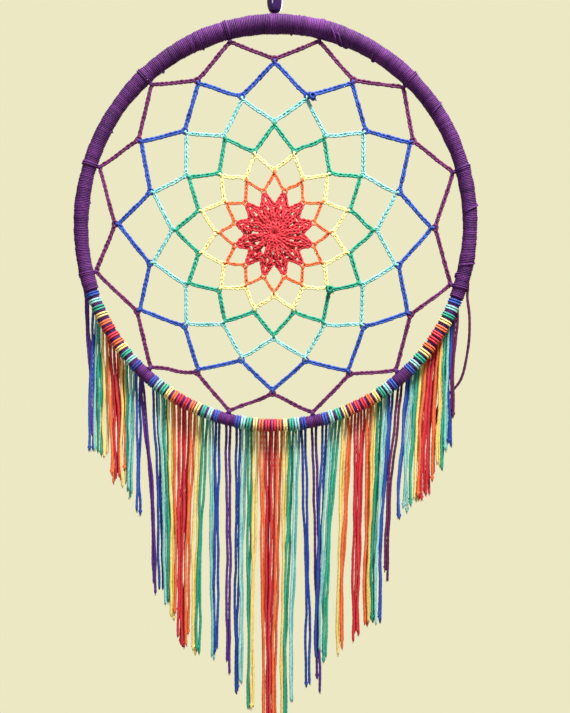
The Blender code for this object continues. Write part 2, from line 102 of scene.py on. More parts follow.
# How the strands gather as they hang, by section: how many tassels in each gathering, and
# where their ends lie across and above the ring's centre.
GATHERINGS = {
    "far_left": (
        (2, -0.1165, -0.1440),
        (2, -0.1112, -0.1485),
        (4, -0.1005, -0.1600),
        (2, -0.0955, -0.1690),
        (1, -0.0922, -0.1725),
        (1, -0.0880, -0.1845),
    ),
    "left": (
        (1, -0.0730, -0.2352),
        (2, -0.0690, -0.2448),
        (2, -0.0640, -0.2525),
        (2, -0.0600, -0.2690),
        (1, -0.0560, -0.2650),
        (2, -0.0500, -0.2737),
        (2, -0.0385, -0.2755),
    ),
    "centre": (
        (2, -0.0225, -0.2960),
        (2, -0.0155, -0.3110),
        (4, -0.0030, -0.3190),
        (2, 0.0062, -0.3140),
        (1, 0.0115, -0.3080),
        (1, 0.0220, -0.2940),
    ),
    "right": (
        (1, 0.0283, -0.2730),
        (2, 0.0318, -0.2745),
        (2, 0.0428, -0.2690),
        (2, 0.0530, -0.2630),
        (1, 0.0592, -0.2540),
        (4, 0.0645, -0.2515),
    ),
    "far_right": (
        (1, 0.0797, -0.1850),
        (1, 0.0838, -0.1800),
        (2, 0.0890, -0.1770),
        (1, 0.0930, -0.1740),
        (2, 0.0970, -0.1700),
        (1, 0.1015, -0.1600),
        (2, 0.1060, -0.1510),
        (2, 0.1110, -0.1420),
    ),
}

# The spacing of the strands in a gathering, which is wider in the outer sections.
GATHERED_SPACING = {"far_left": 0.0014, "far_right": 0.0015}
DRAWN_TOGETHER = 0.0011

# Neighbouring strands lie in front of and behind each other.
LAYERS = (-0.0012, 0.0006, -0.0003, 0.0015)

COMB_NAMES = ("cool_outer", "warm_left", "warm_right", "cool_inner")
TASSEL_COLOURS = (
    "blue", "aqua", "green", "yellow", "orange", "red",
    "red", "orange", "yellow", "green", "aqua", "blue",
)  # fmt: skip

# The purple strands under the ties: section, angle, sideways shift, drift, length, colour.
PURPLE_STRANDS = (
    ("far_left", -161.9, -0.0046, 0.0030, 0.092, "violet"),
    ("left", -132.0, -0.0034, 0.0084, 0.138, "violet"),
    ("centre", -104.0, 0.0, 0.0005, 0.160, "violet"),
    ("centre", -78.0, 0.0, 0.0030, 0.170, "violet"),
    ("right", -49.0, 0.0, -0.0085, 0.127, "plum"),
    ("far_right", -20.7, 0.0013, -0.0030, 0.074, "plum"),
)

# The strand that bows out beside the fringe: (x, y, height above the ring's centre).
LOOSE_START = ((0.1220, 0.0008, -0.0350), (0.1221, 0.0009, -0.0398))
LOOSE_ROUTE = (
    (0.1218, 0.0010, -0.0455),
    (0.1232, 0.0014, -0.0560),
    (0.1235, 0.0020, -0.0663),
    (0.1232, 0.0028, -0.0741),
    (0.1220, 0.0038, -0.0838),
    (0.1205, 0.0052, -0.0925),
    (0.1185, 0.0066, -0.0985),
    (0.1150, 0.0079, -0.1035),
    (0.1105, 0.0084, -0.1078),
    (0.1063, 0.0084, -0.1125),
    (0.1042, 0.0083, -0.1185),
    (0.1036, 0.0082, -0.1258),
)

# The yarns' radii.
WRAP_YARN = 0.00056
LOWER_YARN = 0.00050
TIE_YARN = 0.00052
KNOT_YARN = 0.00064
STRAND_YARN = 0.00086
FIBRE_RADIUS = 0.00013
STRAND_SIDES = 8

# How far out the turns reach from the ring's middle, and how close together they lie.
LOWER_TURNS_RADIUS = 0.0038
TIE_TURNS_RADIUS = 0.0041
WRAP_PITCH = 0.00105
LOWER_PITCH = 0.00102
TIE_PITCH = 0.00104
KNOT_HALF_SPACING = 0.00080
CORNER_CLEARANCE = 0.0014

# The turns are uneven in height, place and lean. LUMPS has wavelengths and heights.
TURN_LIFT = 0.00007
TURN_SHIFT = 0.00008
TURN_LEAN = 0.00012
LEAN_CHANGE = 0.00010
LUMPS = ((0.045, 0.00022), (0.011, 0.00010))

# The cut ends: the share that is knotted, and the fibres of a frayed tip.
KNOTTED_SHARE = 0.45
END_FIBRES = 5

# At most this many cords can be declared. The loop and the bowed strand are two of them.
MAX_DECLARED = 40

FRONT = np.array((0.0, -1.0, 0.0))
BACK = np.array((0.0, 1.0, 0.0))
RNG = np.random.default_rng(11)


# Colours.
def linear(*srgb):
    """Display colour, 0 to 255 a channel, as linear light."""
    values = []
    for channel in srgb:
        c = channel / 255
        values.append(c / 12.92 if c <= 0.04045 else ((c + 0.055) / 1.055) ** 2.4)
    return (*values, 1.0)


# Each yarn: its colour in painted shade, its own colour, and its colour in a painted highlight, slightly
# faded.
YARN_COLOURS = {
    "purple": (linear(22, 0, 44), linear(78, 16, 100), linear(124, 54, 144)),
    "plum": (linear(36, 2, 34), linear(88, 16, 78), linear(138, 56, 124)),
    "violet": (linear(30, 8, 66), linear(78, 30, 132), linear(116, 66, 172)),
    "blue": (linear(4, 10, 84), linear(20, 50, 158), linear(72, 120, 222)),
    "aqua": (linear(30, 122, 130), linear(104, 196, 196), linear(204, 240, 236)),
    "green": (linear(0, 78, 66), linear(0, 140, 114), linear(78, 206, 176)),
    "yellow": (linear(176, 128, 44), linear(234, 208, 100), linear(255, 244, 180)),
    "cream": (linear(206, 168, 84), linear(250, 232, 146), linear(255, 252, 205)),
    "orange": (linear(164, 46, 20), linear(230, 94, 48), linear(248, 148, 92)),
    "red": (linear(112, 0, 22), linear(208, 24, 50), linear(238, 84, 90)),
}


# Noise scales of the yarn's surface, and the depth of its relief.
FIBRE_SCALE = 3.2
PATCH_SCALE = 70.0
FUZZ_SCALE = 5200.0
FUZZ_SHARE = 0.35
YARN_RELIEF = 0.00016


def set_inputs(node, values):
    for name, value in values.items():
        node.inputs[name].default_value = value


def new_object(name, data):
    """An object in the scene, with this mesh, light or camera."""
    thing = bpy.data.objects.new(name, data)
    bpy.context.scene.collection.objects.link(thing)
    return thing


def new_material(name):
    material = bpy.data.materials.new(name)
    material.use_nodes = True
    tree = material.node_tree
    return material, tree, tree.nodes["Principled BSDF"]


def attribute(tree, name):
    node = tree.nodes.new("ShaderNodeAttribute")
    node.attribute_name = name
    return node


def noise(tree, vector, scale, detail=3.0, roughness=0.55):
    node = tree.nodes.new("ShaderNodeTexNoise")
    set_inputs(node, {"Scale": scale, "Detail": detail, "Roughness": roughness})
    tree.links.new(vector, node.inputs["Vector"])
    return node.outputs["Fac"]


def spread(tree, value, low, high, out_low=0.0, out_high=1.0):
    node = tree.nodes.new("ShaderNodeMapRange")
    set_inputs(node, {"From Min": low, "From Max": high, "To Min": out_low, "To Max": out_high})
    tree.links.new(value, node.inputs["Value"])
    return node.outputs["Result"]


def mixed(tree, factor, first, second):
    """first and second are colours or sockets."""
    node = tree.nodes.new("ShaderNodeMix")
    node.data_type = "RGBA"
    tree.links.new(factor, node.inputs["Factor"])
    for socket, value in (("A", first), ("B", second)):
        target = next(i for i in node.inputs if i.name == socket and i.type == "RGBA")
        if isinstance(value, tuple):
            target.default_value = value
        else:
            tree.links.new(value, target)
    return next(o for o in node.outputs if o.type == "RGBA")


def combined(tree, operation, first, second):
    node = tree.nodes.new("ShaderNodeMath")
    node.operation = operation
    for index, value in enumerate((first, second)):
        if isinstance(value, float):
            node.inputs[index].default_value = value
        else:
            tree.links.new(value, node.inputs[index])
    return node.outputs[0]


def add_relief(tree, shader, height, strength, depth):
    bump = tree.nodes.new("ShaderNodeBump")
    set_inputs(bump, {"Strength": strength, "Distance": depth})
    tree.links.new(height, bump.inputs["Height"])
    tree.links.new(bump.outputs["Normal"], shader.inputs["Normal"])


def yarn_material(name):
    """Spun cotton, its own colour mixed with painted shade and painted highlights: by each turn's and
    stitch's painted light, in random patches, and along fibre streaks that run with the twist; with fuzz.
    """
    material, tree, shader = new_material(f"yarn_{name}")
    painted_shade, own, painted_highlight = YARN_COLOURS[name]
    fibre = attribute(tree, "fibre").outputs["Vector"]
    place = tree.nodes.new("ShaderNodeTexCoord").outputs["Object"]
    painted_light = attribute(tree, "painted_light").outputs["Fac"]
    streaks = noise(tree, fibre, FIBRE_SCALE, 4.0, 0.6)
    patches = noise(tree, place, PATCH_SCALE, 2.0)
    # Painted shade to painted highlight by each point's painted light, mixed with the own colour more in
    # some random patches than in others.
    base = mixed(tree, spread(tree, painted_light, -1.0, 1.0), painted_shade, painted_highlight)
    base = mixed(tree, spread(tree, patches, 0.3, 0.7, 0.35, 0.70), base, own)
    # Fibre streaks darkened with painted shade and lightened with painted highlight, as if the plies caught
    # the light.
    painted_shade_lines = spread(tree, streaks, 0.30, 0.52, 0.75, 0.0)
    painted_highlight_lines = spread(tree, streaks, 0.52, 0.78, 0.0, 0.65)
    colour = mixed(tree, painted_shade_lines, base, painted_shade)
    colour = mixed(tree, painted_highlight_lines, colour, painted_highlight)
    tree.links.new(colour, shader.inputs["Base Color"])
    rough = spread(tree, streaks, 0.25, 0.75, 0.88, 0.62)
    tree.links.new(rough, shader.inputs["Roughness"])
    set_inputs(shader, {"Sheen Weight": 0.10, "Sheen Roughness": 0.45, "Sheen Tint": painted_highlight})
    set_inputs(shader, {"Specular IOR Level": 0.35})
    fuzz = noise(tree, place, FUZZ_SCALE, 2.0)
    height = combined(tree, "ADD", streaks, combined(tree, "MULTIPLY", fuzz, FUZZ_SHARE))
    add_relief(tree, shader, height, 0.7, YARN_RELIEF)
    return material


def bead_material():
    """Dark violet pearl plastic, polished, with faint swirls and fine scuffs."""
    material, tree, shader = new_material("bead_plastic")
    place = tree.nodes.new("ShaderNodeTexCoord").outputs["Object"]
    swirl = noise(tree, place, 160.0, 3.0)
    scuffs = noise(tree, place, 1500.0, 4.0, 0.7)
    colour = mixed(tree, spread(tree, swirl, 0.35, 0.65), linear(22, 6, 44), linear(62, 24, 104))
    tree.links.new(colour, shader.inputs["Base Color"])
    tree.links.new(spread(tree, scuffs, 0.35, 0.8, 0.08, 0.26), shader.inputs["Roughness"])
    set_inputs(shader, {"Coat Weight": 0.6, "Coat Roughness": 0.05, "IOR": 1.5})
    add_relief(tree, shader, scuffs, 0.15, 0.00005)
    return material


def steel_material():
    """Bright drawn steel wire, with fine lines and a little tarnish."""
    material, tree, shader = new_material("ring_steel")
    place = tree.nodes.new("ShaderNodeTexCoord").outputs["Object"]
    tarnish = noise(tree, place, 120.0, 4.0)
    colour = mixed(tree, spread(tree, tarnish, 0.4, 0.7), linear(176, 178, 182), linear(120, 112, 104))
    tree.links.new(colour, shader.inputs["Base Color"])
    tree.links.new(spread(tree, tarnish, 0.3, 0.7, 0.25, 0.5), shader.inputs["Roughness"])
    set_inputs(shader, {"Metallic": 1.0})
    return material


MATERIALS = {name: yarn_material(name) for name in YARN_COLOURS}
MATERIALS["bead"] = bead_material()
MATERIALS["steel"] = steel_material()
SLOTS = {name: f"yarn_{name}" for name in YARN_COLOURS}
SLOTS["violet"] = "yarn_purple"
SLOTS["cream"] = "yarn_yellow"


# Curves and the tubes along them.
def unit(vectors):
    vectors = np.asarray(vectors, float)
    return vectors / np.maximum(np.linalg.norm(vectors, axis=-1, keepdims=True), 1e-12)


def full_circle(count):
    return np.linspace(0, 2 * math.pi, count, endpoint=False)


def lengths_along(points):
    steps = np.linalg.norm(np.diff(points, axis=0), axis=1)
    return np.concatenate([[0.0], np.cumsum(steps)])


def tangents(points, closed):
    if closed:
        return unit(np.roll(points, -1, axis=0) - np.roll(points, 1, axis=0))
    return unit(np.gradient(points, axis=0))


def evenly(points, spacing, closed=False):
    """The same path with points at an even spacing."""
    path = np.vstack([points, points[:1]]) if closed else np.asarray(points, float)
    along = lengths_along(path)
    count = max(2, int(round(along[-1] / spacing)))
    wanted = np.linspace(0, along[-1], count + 1)
    result = np.stack([np.interp(wanted, along, path[:, k]) for k in range(3)], axis=1)
    return result[:-1] if closed else result


def rounded(points, closed=False, passes=2):
    """Corners cut, pass by pass."""
    points = np.asarray(points, float)
    for _ in range(passes):
        if closed:
            after = np.roll(points, -1, axis=0)
        else:
            after = points[1:]
        before = points if closed else points[:-1]
        cut = np.stack([before * 0.75 + after * 0.25, before * 0.25 + after * 0.75], axis=1)
        cut = cut.reshape(-1, 3)
        points = cut if closed else np.vstack([points[:1], cut, points[-1:]])
    return points


def smooth(points, subdivisions, closed=False):
    """A smooth curve through every point."""
    p = np.asarray(points, float)
    if closed:
        p = np.vstack([p[-1:], p, p[:2]])
    else:
        p = np.vstack([p[:1] * 2 - p[1:2], p, p[-1:] * 2 - p[-2:-1]])
    a, b, c, d = p[:-3], p[1:-2], p[2:-1], p[3:]
    t = (np.arange(subdivisions) / subdivisions)[None, :, None]
    a, b, c, d = (v[:, None, :] for v in (a, b, c, d))
    curve = b * 2 + (c - a) * t + (a * 2 - b * 5 + c * 4 - d) * t**2 + (b * 3 - a - c * 3 + d) * t**3
    curve = (curve / 2).reshape(-1, 3)
    return curve if closed else np.vstack([curve, p[-2:-1]])


def wobble(along, wavelength, amount=1.0):
    """A smooth random wave along a length, of about this amount each way."""
    along = np.asarray(along, float)
    total = np.zeros_like(along)
    for octave in (1.0, 1.7, 2.9):
        phase = RNG.uniform(0, 2 * math.pi)
        total += np.sin(2 * math.pi * along * octave / wavelength + phase) / octave
    return total * amount / 1.6


def tube(points, radius, sides=8, closed=False, across=FRONT, lobes=2, depth=0.10, pitch=0.0054, painted_light=0.0):
    """Spun yarn along the points: its plies show as lobes that turn once in each pitch."""
    points = np.asarray(points, float)
    count = len(points)
    along = lengths_along(points)
    direction = tangents(points, closed)
    across = np.broadcast_to(np.asarray(across, float), points.shape)
    normal = unit(across - direction * np.sum(across * direction, axis=1, keepdims=True))
    binormal = np.cross(direction, normal)
    radii = np.broadcast_to(np.asarray(radius, float), (count,))
    turns = max(1, round(along[-1] / pitch)) if closed else along[-1] / pitch
    phase = 2 * math.pi * turns * along / max(along[-1], 1e-9)
    if closed:
        phase = 2 * math.pi * turns * np.arange(count) / count
    theta = 2 * math.pi * np.arange(sides) / sides
    swell = 1 + depth * np.cos(lobes * (theta[None, :] - phase[:, None]))
    reach = radii[:, None] * swell
    vertices = (
        points[:, None, :]
        + normal[:, None, :] * (reach * np.cos(theta))[:, :, None]
        + binormal[:, None, :] * (reach * np.sin(theta))[:, :, None]
    ).reshape(-1, 3)
    index = np.arange(count * sides).reshape(count, sides)
    rows = index if closed else index[:-1]
    following = np.roll(index, -1, axis=0) if closed else index[1:]
    quads = np.stack(
        [rows, np.roll(rows, -1, axis=1), np.roll(following, -1, axis=1), following], axis=-1
    ).reshape(-1, 4)
    if not closed:
        k = np.arange(sides // 2 - 1)
        cap = np.stack([k, k + 1, sides - 2 - k, sides - 1 - k], axis=1)
        quads = np.vstack([quads, cap[:, ::-1], cap + index[-1, 0]])
    spin = theta[None, :] - phase[:, None]
    fibre = np.stack(
        [
            radii[:, None] * 1000 * np.cos(spin),
            radii[:, None] * 1000 * np.sin(spin),
            np.broadcast_to((along * 1000 * 0.15)[:, None], spin.shape) + RNG.uniform(0, 50),
        ],
        axis=-1,
    ).reshape(-1, 3)
    # Each point's painted light: painted shade at -1, painted highlight at +1.
    painted_lights = np.broadcast_to(np.asarray(painted_light, float), (count,))
    return vertices, quads, fibre, np.repeat(painted_lights, sides)


def make_piece(name, tubes, material, body, replaces=()):
    """One named piece from its tubes, riding on its body."""
    mesh = bpy.data.meshes.new(name)
    starts = np.cumsum([0] + [len(t[0]) for t in tubes])
    vertices = np.vstack([t[0] for t in tubes])
    quads = np.vstack([t[1] + start for t, start in zip(tubes, starts)])
    mesh.vertices.add(len(vertices))
    mesh.vertices.foreach_set("co", vertices.astype(np.float32).ravel())
    mesh.loops.add(quads.size)
    mesh.loops.foreach_set("vertex_index", quads.astype(np.int32).ravel())
    mesh.polygons.add(len(quads))
    mesh.polygons.foreach_set("loop_start", np.arange(0, quads.size, 4, dtype=np.int32))
    mesh.polygons.foreach_set("use_smooth", np.ones(len(quads), bool))
    mesh.update(calc_edges=True)
    fibre = mesh.attributes.new("fibre", "FLOAT_VECTOR", "POINT")
    fibre.data.foreach_set("vector", np.vstack([t[2] for t in tubes]).astype(np.float32).ravel())
    # The painted light, which the yarn material turns into painted shade and painted highlight.
    painted_light = mesh.attributes.new("painted_light", "FLOAT", "POINT")
    painted_light.data.foreach_set("value", np.concatenate([t[3] for t in tubes]).astype(np.float32))
    mesh.materials.append(MATERIALS[material])
    piece = new_object(name, mesh)
    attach(piece, body)
    if replaces:
        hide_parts(*replaces)
    return piece


# The ring's own geometry.
def ring_frames(angles):
    """Places, outward normals and directions along the ring, at angles in degrees."""
    a = np.radians(np.atleast_1d(np.asarray(angles, float)))
    zero = np.zeros_like(a)
    place = np.stack([RING_HALF_WIDTH * np.cos(a), zero, RING_HALF_HEIGHT * np.sin(a)], axis=1)
    normal = unit(np.stack([RING_HALF_HEIGHT * np.cos(a), zero, RING_HALF_WIDTH * np.sin(a)], axis=1))
    along = unit(np.stack([-RING_HALF_WIDTH * np.sin(a), zero, RING_HALF_HEIGHT * np.cos(a)], axis=1))
    place[:, 2] += RING_CENTRE
    return place, normal, along


def round_ring(place, normal, reach, phi):
    """Points at a reach from the ring's line, turned about it from outward to the back."""
    return place + normal * (reach * np.cos(phi))[:, None] + BACK * (reach * np.sin(phi))[:, None]


def ring_point(angle, outward=0.0):
    place, normal, _ = ring_frames(angle)
    return place[0] + normal[0] * outward


def wrap_radius(angle):
    """The wound ring's radius: thickest at the top."""
    height = np.maximum(0.0, np.sin(np.radians(angle)))
    return SIDE_WRAP_RADIUS + (TOP_WRAP_RADIUS - SIDE_WRAP_RADIUS) * height**4


def inner_wrap_radius(angle):
    return wrap_radius(angle) - WRAP_YARN * 1.25


def even(radius):
    """The same radius all along the ring."""
    return lambda angles: np.full_like(angles, radius)


def ring_angles(start, end, shift):
    """Angles that lie evenly along the ring from start to end, for shifts 0 to 1."""
    table = np.linspace(start, end, 400)
    along = lengths_along(ring_frames(table)[0])
    return np.interp(np.asarray(shift) * along[-1], along, table), along[-1]


def wound(start, end, pitch, radius_at, yarn, steps=20, sides=6, unevenness=1.0, painted_light=0.0):
    """Yarn wound round the ring from start to end, each turn a little uneven."""
    length = ring_angles(start, end, 0.0)[1]
    turns = max(2, round(length / pitch))
    u = np.linspace(0, turns, turns * steps + 1)
    knots = np.arange(turns + 2)
    phi = 2 * math.pi * u
    lift = np.interp(u, knots, RNG.normal(0, TURN_LIFT, len(knots))) * unevenness
    lean = (TURN_LEAN + LEAN_CHANGE * wobble(u * pitch, 0.02)) * unevenness
    shift = u / turns + lean * np.sin(phi + wobble(u * pitch, 0.05, 2.0)) / length
    shift += np.interp(u, knots, RNG.normal(0, TURN_SHIFT, len(knots))) / length * unevenness
    angles = ring_angles(start, end, np.clip(shift, 0, 1))[0]
    place, normal, along = ring_frames(angles)
    lumps = sum(wobble(u * pitch, wavelength, height) for wavelength, height in LUMPS)
    reach = radius_at(angles) - yarn + lift + lumps * unevenness
    points = round_ring(place, normal, reach, phi)
    # Each turn gets a random painted shade or painted highlight, on top of the wrap's own painted light.
    painted_lights = np.interp(u, knots, RNG.normal(0, 0.45, len(knots))) + wobble(u * pitch, 0.06, 0.35) + painted_light
    return tube(points, yarn, sides, across=along, depth=0.05, painted_light=painted_lights)


def stray_turn(angle, advance, phase, sweep, radius, yarn, painted_light=0.3):
    """A turn of yarn that lies slanted over its neighbours."""
    u = np.linspace(0, 1, 24)
    place, normal, along = ring_frames(angle + advance * (u - 0.5))
    phi = np.radians(phase + sweep * u)
    sink = yarn * 1.6 * (2 * np.abs(u - 0.5)) ** 6
    reach = radius + yarn * 0.5 - sink
    points = round_ring(place, normal, reach, phi)
    return tube(points, yarn, 6, across=along, depth=0.05, painted_light=painted_light)


def shaded_backing(start, end, radius_at):
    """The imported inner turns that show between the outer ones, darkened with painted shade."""
    angles = np.linspace(start, end, int((end - start) / 1.2) + 2)
    place, _, _ = ring_frames(angles)
    return tube(place, radius_at(angles), 20, across=FRONT, depth=0.0, painted_light=-1.0)


# Stray turns: angle, advance along the ring, phase and sweep round it, in degrees, and painted light, from
# painted shade at -1 to painted highlight at +1.
STRAY_TURNS = (
    (71, 5.0, 150, 130, 0.9),
    (69, 4.2, 140, 120, 0.6),
    (58, 2.5, 30, 200, 0.1),
    (84, 2.2, -20, 190, 0.2),
    (112, 2.6, 10, 200, 0.0),
    (126, 3.0, 20, 180, 0.3),
    (150, 2.4, -10, 210, 0.1),
    (172, 3.2, 0, 200, -0.1),
    (35, 2.6, -160, 210, 0.2),
    (5, 3.2, -150, 220, 0.1),
    (-11, 2.6, -170, 240, 0.2),
    (-15.4, 2.6, -20, 230, 0.3),
    (-15.9, 2.4, -10, 220, -0.3),
)


def make_upper_wrap():
    start = RIGHT_FRINGE_ANGLE + 0.2
    end = LEFT_FRINGE_ANGLE + 360 - 0.2
    tubes = [shaded_backing(start, end, inner_wrap_radius)]
    tubes.append(wound(start, end, WRAP_PITCH, wrap_radius, WRAP_YARN))
    for angle, advance, phase, sweep, painted_light in STRAY_TURNS:
        tubes.append(stray_turn(angle, advance, phase, sweep, wrap_radius(angle), WRAP_YARN, painted_light))
    return make_piece("ring_wrap", tubes, "purple", "ring", ["upper_wrap"])


def make_lower_wrap():
    start, end = LEFT_FRINGE_ANGLE - 0.6, RIGHT_FRINGE_ANGLE + 0.6
    outer = even(LOWER_TURNS_RADIUS)
    tubes = [shaded_backing(start, end, even(LOWER_TURNS_RADIUS - LOWER_YARN * 1.2))]
    # The lower turns are darkened with painted shade.
    tubes.append(wound(start, end, LOWER_PITCH, outer, LOWER_YARN, steps=14, painted_light=-0.5))
    return make_piece("ring_lower_wrap", tubes, "purple", "ring", ["lower_wrap"])


# The web.
def tie_cover(angle):
    """The wrapped radius under a tie, and half the angle that the tie covers."""
    if LEFT_FRINGE_ANGLE < angle < RIGHT_FRINGE_ANGLE:
        return LOWER_WRAP_RADIUS, TIE_HALF_ANGLE
    half = UPPER_TIE_HALF_ANGLE
    return float(max(wrap_radius(angle - half), wrap_radius(angle + half))), half


def full_angle(angle):
    return angle if angle > -180 else angle + 360


def tied_corner(index):
    """Where the purple round is tied, its chain drawn up against the wound ring."""
    angle = full_angle(TIE_ANGLES[index % WEB_SECTORS])
    covered = tie_cover(angle)[0]
    wound_radius = TIE_TURNS_RADIUS if covered == LOWER_WRAP_RADIUS else covered
    return ring_point(angle, -(wound_radius + CORNER_CLEARANCE))


def web_centre(ring):
    return RING_CENTRE - WEB_SAG * (1 - WEB_HALF_HEIGHTS[ring] / WEB_HALF_HEIGHTS[0])


def web_joint(ring, index, outward=0.0):
    """A joint of the web. Even rings lie at the ties' angles, odd rings between them."""
    if ring == 0:
        return tied_corner(index)
    nominal = 75 - 30 * index
    bend = TIE_ANGLES[index % WEB_SECTORS] - (75 - 30 * (index % WEB_SECTORS))
    if ring % 2:
        following = (index + 1) % WEB_SECTORS
        bend = (bend + TIE_ANGLES[following] - (75 - 30 * following)) / 2
        nominal -= 15
    angle = math.radians(nominal + bend * 0.5**ring)
    x = (WEB_HALF_WIDTHS[ring] + outward) * math.cos(angle)
    z = (WEB_HALF_HEIGHTS[ring] + outward) * math.sin(angle)
    return np.array((x, 0.0, web_centre(ring) + z))


# One chain stitch: steps along, across and towards the front, in stitch lengths and
# half widths. The yarn comes up the back, round the loop and down behind the next stitch.
CHAIN_STITCH = (
    (0.00, 0.10, -0.75),
    (0.22, 0.75, -0.10),
    (0.62, 1.00, 0.45),
    (1.05, 0.72, 0.55),
    (1.34, 0.00, 0.30),
    (1.05, -0.72, 0.62),
    (0.62, -1.00, 0.50),
    (0.22, -0.72, -0.05),
    (0.30, -0.10, -0.70),
    (0.70, 0.05, -0.95),
)


def chain(path, pitch, width, depth, yarn, closed, painted_light=0.0):
    """Crochet chain along a path: one continuous yarn, looped through itself each stitch."""
    dense = evenly(path, 0.0003, closed)
    ring = np.vstack([dense, dense[:1]]) if closed else dense
    along = lengths_along(ring)
    direction = tangents(dense, closed)
    direction = np.vstack([direction, direction[:1]]) if closed else direction
    stitches = max(2, round(along[-1] / pitch))
    step = along[-1] / stitches
    pattern = np.array(CHAIN_STITCH)
    k = np.arange(stitches)[:, None]
    a = (k + pattern[None, :, 0]) * step
    looseness = RNG.normal(1.0, 0.10, (stitches, 1))
    b = pattern[None, :, 1] * width * looseness
    c = pattern[None, :, 2] * depth * looseness
    b = b + RNG.normal(0, width * 0.10, b.shape)
    c = c + RNG.normal(0, depth * 0.08, c.shape)
    a, b, c = a.ravel(), b.ravel(), c.ravel()
    where = a % along[-1] if closed else np.clip(a, 0, along[-1])
    place = np.stack([np.interp(where, along, ring[:, n]) for n in range(3)], axis=1)
    heading = unit(np.stack([np.interp(where, along, direction[:, n]) for n in range(3)], axis=1))
    side = unit(np.cross(heading, FRONT))
    points = place + side * b[:, None] + FRONT * c[:, None]
    curve = smooth(points, 2, closed)
    # Painted shade where the yarn dives into the middle of the chain, painted highlight on the outer sides
    # of each loop, and a random painted light for each stitch.
    painted_dip_shade = np.abs(pattern[:, 1]) * 1.3 - 0.75
    painted_lights = np.repeat((RNG.normal(painted_light, 0.35, (stitches, 1)) + painted_dip_shade).ravel(), 2)
    painted_lights = np.append(painted_lights, painted_lights[-1]) if not closed else painted_lights
    return tube(curve, yarn, 6, closed, FRONT, depth=0.06, pitch=0.003, painted_light=painted_lights[: len(curve)])


def trefoil(t):
    """The line of an overhand knot drawn tight, its loops in the XZ plane."""
    return np.stack([np.sin(t) + 2 * np.sin(2 * t), -np.sin(3 * t), np.cos(t) - 2 * np.cos(2 * t)], axis=1)


def link(place, inward, length, width, yarn, tilt=0.0, painted_light=0.0):
    """A turn of yarn that ties two pieces together, round from the front to the back."""
    theta = full_circle(20)
    side = unit(np.cross(inward, FRONT))
    points = (
        place
        + inward * (length * np.cos(theta))[:, None]
        + FRONT * (width * np.sin(theta))[:, None]
        + side * (tilt * np.cos(theta))[:, None]
    )
    return tube(points, yarn, 6, True, side, depth=0.05, painted_light=painted_light)


# Each round: node, colour, yarn radius, half width of the chain and length of a stitch.
WEB_ROUNDS = (
    ("purple_round", "plum", 0.00066, 0.00074, 0.0031),
    ("blue_round", "blue", 0.00070, 0.00078, 0.0031),
    ("aqua_round", "aqua", 0.00064, 0.00072, 0.0030),
    ("green_round", "green", 0.00068, 0.00076, 0.0030),
    ("yellow_round", "cream", 0.00062, 0.00070, 0.0029),
    ("orange_round", "orange", 0.00054, 0.00060, 0.0027),
)


def round_corners(ring, reach):
    """The corners of a zigzag round, out and in by turns."""
    corners = []
    for index in range(WEB_SECTORS):
        corners.append(web_joint(ring, index, -reach if ring else 0.0))
        corners.append(web_joint(ring + 1, index + ring % 2, reach))
    return corners


def sagging(start, end, sag):
    """A chain from corner to corner, hanging a hair below the straight line."""
    t = np.linspace(0, 1, 7)[:, None]
    droop = sag * np.sin(math.pi * t)
    slack = RNG.normal(0, 0.00025) * np.sin(2 * math.pi * t)
    points = start * (1 - t) + end * t
    return points + np.array((0.0, 0.0, -1.0)) * (droop + slack)


def make_web_round(ring):
    name, colour, yarn, half, pitch = WEB_ROUNDS[ring]
    corners = round_corners(ring, 0.0010)
    points = []
    for n, corner in enumerate(corners):
        following = corners[(n + 1) % len(corners)]
        ahead = unit(following - corner)
        blunt = ahead * WEB_VERTEX_HALF
        points.extend(sagging(corner + blunt, following - blunt, 0.0003))
    path = rounded(np.array(points), True, 2)
    tubes = [chain(path, pitch, half, 0.00066, yarn, True)]
    centre = np.array((0.0, 0.0, web_centre(ring)))
    for index in range(WEB_SECTORS):
        if ring:
            joint = web_joint(ring, index)
            inward = unit(centre - joint)
            for tilt in (-0.0005, 0.0005):
                tubes.append(link(joint + inward * 0.0007, inward, 0.0013, 0.0012, yarn * 0.9, tilt))
        inner = web_joint(ring + 1, index + ring % 2)
        tubes.append(eyelet(inner, centre, ring))
    return make_piece(f"{colour}_chain_round", tubes, colour, "ring", [name])


def eyelet(joint, centre, ring):
    """The small loop at an inner corner that the next round is worked into."""
    yarn = 0.00060
    reach = 0.00190 if ring < 2 else 0.00150
    inward = unit(centre - joint)
    side = unit(np.cross(inward, FRONT))
    theta = full_circle(24)
    points = joint - inward * 0.0009 + FRONT * 0.0004
    points = points + side * (reach * np.cos(theta))[:, None]
    points = points + inward * (reach * np.sin(theta))[:, None]
    points = points + FRONT * (0.0003 * np.cos(2 * theta))[:, None]
    # Each eyelet gets a random painted shade or painted highlight.
    return tube(points, yarn, 6, True, FRONT, depth=0.06, painted_light=RNG.normal(0, 0.4))


def make_tie_off(name, ring, index, aside, colour):
    """A bulky finishing knot, with its two short ends."""
    joint = web_joint(ring, index)
    place = joint + np.array((aside, -0.0029, 0.0))
    t = full_circle(72)
    points = trefoil(t) * np.array((1.0, 1.5, 1.0))
    # The knot's loops and ends carry a little painted highlight or painted shade.
    tubes = [tube(place + points * 0.00082, 0.00062, 8, True, FRONT, painted_light=0.2)]
    spin = t * 2
    points = np.stack([np.cos(spin) * 1.3, np.sin(t) * 1.5, np.sin(spin) * 1.3], axis=1)
    tubes.append(tube(place + points * 0.0012, 0.00062, 8, True, FRONT, painted_light=-0.1))
    for side in (-1.0, 1.0):
        reach = np.array([(0, 0, 0), (0.9, -0.3, 0.7), (1.7, 0.2, 1.6), (2.2, 0.4, 2.9)]) * 0.001
        end = smooth(place + reach * np.array((side, 1, -side)), 4)
        tubes.append(tube(end, 0.00042, 6, False, FRONT, painted_light=0.1))
    return make_piece(f"{colour}_finishing_knot", tubes, colour, "ring", [name])


